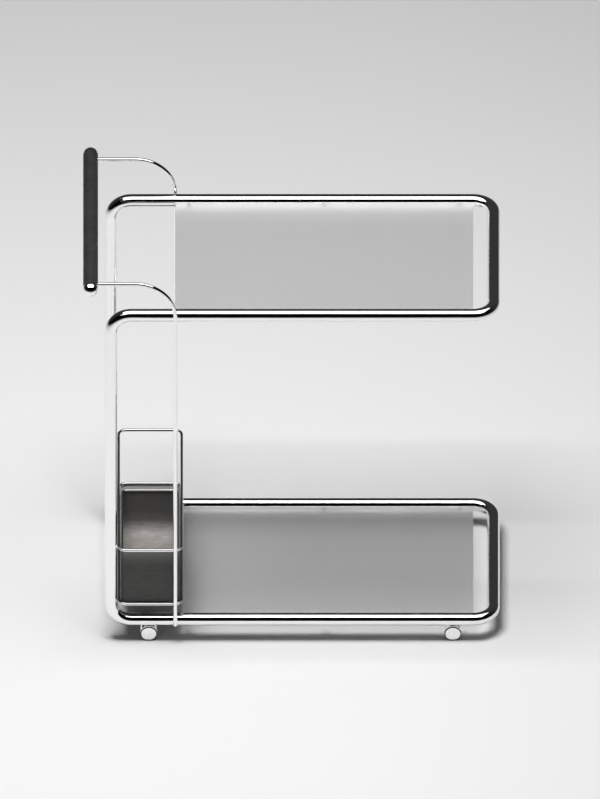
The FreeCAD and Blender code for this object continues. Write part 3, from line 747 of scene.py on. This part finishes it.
def twin_piece(node, profile, material, body, closed):
    """A turned part and its twin on the other side of the castor, in place of their CAD node."""
    low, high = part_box(node)
    centre = (low + high) / 2
    twins = []
    for side in (-1, 1):
        twins.append(turned_loops([(radius, side * along) for radius, along in profile], centre))
    points, faces = join_skins(twins, closed)
    piece = add_piece(node + "_look", points, faces, material, body)
    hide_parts(node)


def tyre_profile(inner, outer, side):
    """Section of one soft tread: rounded over both shoulders, with its outer shoulder at the side."""
    half_width = 1.7 * MM
    bead = 0.2 * MM
    middle = side - half_width
    profile = [(inner, middle + half_width - bead)]
    for turn in range(-80, 81, 16):
        bulge = math.cos(math.radians(turn)) ** 0.5
        across = middle - half_width * math.sin(math.radians(turn))
        profile.append((inner + (outer - inner) * bulge, across))
    profile.append((inner, middle - half_width + bead))
    return profile


def cap_profile(outer, face):
    """Section of a side cap: rolled rim, shallow groove and a slightly crowned middle."""
    rim = 0.55 * MM
    profile = [(outer, face - 1.1 * MM), (outer, face - rim)]
    for turn in range(15, 91, 15):
        across = outer - rim + rim * math.cos(math.radians(turn))
        profile.append((across, face - rim + rim * math.sin(math.radians(turn))))
    for inset, drop in ((1.3, 0.02), (1.6, 0.28), (1.9, 0.28), (2.2, 0.1)):
        profile.append((outer - inset * MM, face - drop * MM))
    for share in (0.75, 0.5, 0.25, 0.05):
        profile.append((outer * share, face - 0.12 * MM * share))
    return profile


# ---------------------------------------------------------------- studio


def add_floor():
    """One wide pale floor, a little cloudy."""
    material, tree, shader = new_material("studio_floor")
    cloud = noise_texture(tree, place_coordinates(tree), per_metre=0.8, detail=2.0)
    colour = mix_colours(tree, cloud, (0.80, 0.80, 0.80), (0.84, 0.84, 0.84))
    tree.links.new(colour, shader.inputs["Base Color"])
    set_values(shader, Roughness=0.9, Specular_IOR_Level=0.15)
    half = 9.0
    mesh = bpy.data.meshes.new("studio_floor")
    corners = [(-half, -half, 0), (half, -half, 0), (half, half, 0), (-half, half, 0)]
    mesh.from_pydata(corners, [], [(0, 1, 2, 3)])
    mesh.materials.append(material)
    floor = bpy.data.objects.new("studio_floor", mesh)
    bpy.context.scene.collection.objects.link(floor)


def add_area_light(name, place, size, radiance, mirrored):
    """A rectangular light that faces straight down: only mirrored in gloss, or only lighting the rest."""
    lamp = bpy.data.lights.new(name, "AREA")
    lamp.shape = "RECTANGLE"
    lamp.size, lamp.size_y = size
    lamp.energy = radiance * math.pi * size[0] * size[1]
    light = bpy.data.objects.new(name, lamp)
    light.location = place
    light.visible_glossy = mirrored
    light.visible_diffuse = not mirrored
    lamp.cycles.use_multiple_importance_sampling = mirrored
    bpy.context.scene.collection.objects.link(light)


def add_world():
    """A dark room, a little lighter behind the cart than in front of it."""
    world = bpy.data.worlds.new("studio")
    bpy.context.scene.world = world
    world.use_nodes = True
    tree = world.node_tree
    where = tree.nodes.new("ShaderNodeTexCoord")
    backward = one_axis(tree, where.outputs["Generated"], "Y")
    strength = remap(tree, backward, -0.3, 0.6, 0.002, 0.036)
    background = tree.nodes["Background"]
    background.inputs["Color"].default_value = (1.0, 1.0, 1.0, 1.0)
    tree.links.new(strength, background.inputs["Strength"])


def add_camera():
    """A camera without perspective that looks down on the cart's front."""
    elevation = math.radians(36.87)
    aim = Vector((0.0170, 0.0, 0.4453))
    frame_height, distance = 1.567, 6.0
    back = Vector((0.0, -math.cos(elevation), math.sin(elevation)))
    data = bpy.data.cameras.new("camera")
    data.type = "ORTHO"
    data.ortho_scale = frame_height
    data.clip_end = 100.0
    camera = bpy.data.objects.new("camera", data)
    camera.location = aim + back * distance
    camera.rotation_mode = "QUATERNION"
    camera.rotation_quaternion = (-back).to_track_quat("-Z", "Y")
    bpy.context.scene.collection.objects.link(camera)
    bpy.context.scene.camera = camera


dress_cad()
grip_leather()
container_leather()
liner_leather()
floor_leather()
for castor in CASTORS:
    castor_looks(castor)

add_floor()
add_world()
add_area_light("softbox", (0.5, -0.6, 4.5), (6.2, 3.0), radiance=0.45, mirrored=False)
add_area_light("key", (-0.5, -0.45, 4.45), (1.8, 1.2), radiance=30.8, mirrored=False)
add_area_light("reflector", (-0.3, -0.5, 4.4), (6.2, 3.6), radiance=2.5, mirrored=True)
add_camera()
bpy.context.scene.view_settings.view_transform = "Standard"
